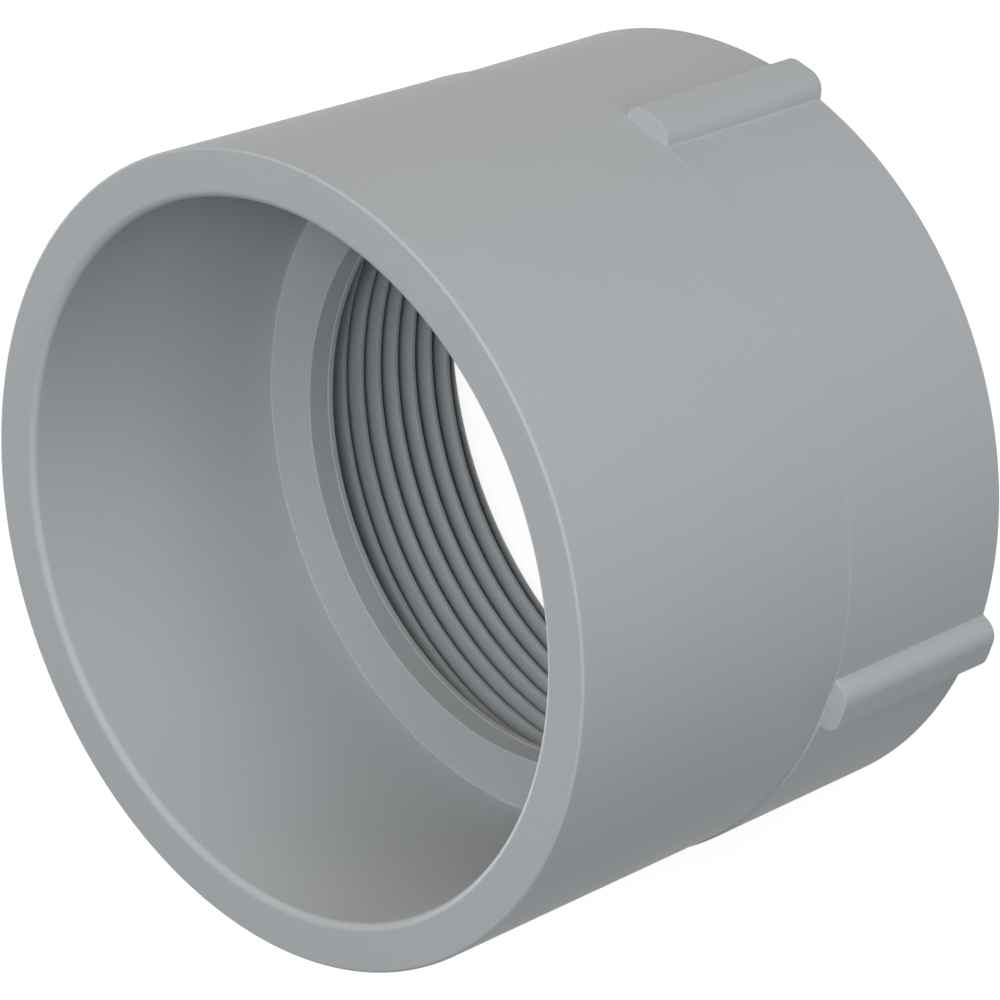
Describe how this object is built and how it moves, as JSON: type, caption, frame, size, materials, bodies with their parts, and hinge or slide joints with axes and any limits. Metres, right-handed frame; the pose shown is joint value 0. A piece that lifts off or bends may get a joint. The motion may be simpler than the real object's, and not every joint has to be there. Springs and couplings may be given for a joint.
{
  "type": "female threaded adapter",
  "caption": "Plastic conduit fitting with a solvent-weld pipe socket at one end, an inner stop ring, and a tapered female pipe thread with outer wrenching ribs at the other.",
  "frame": {"origin": "on the axis, in the plane of the threaded end that the fitting stands on", "axes": "+Z along the axis towards the pipe socket's mouth; +X through the middle of one wrenching rib"},
  "size_m": [0.1047, 0.1047, 0.0735],
  "materials": {
    "grey_pvc": "satin moulded"
  },
  "bodies": {
    "root": {"adapter_body": "grey_pvc"}
  },
  "joints": []
}
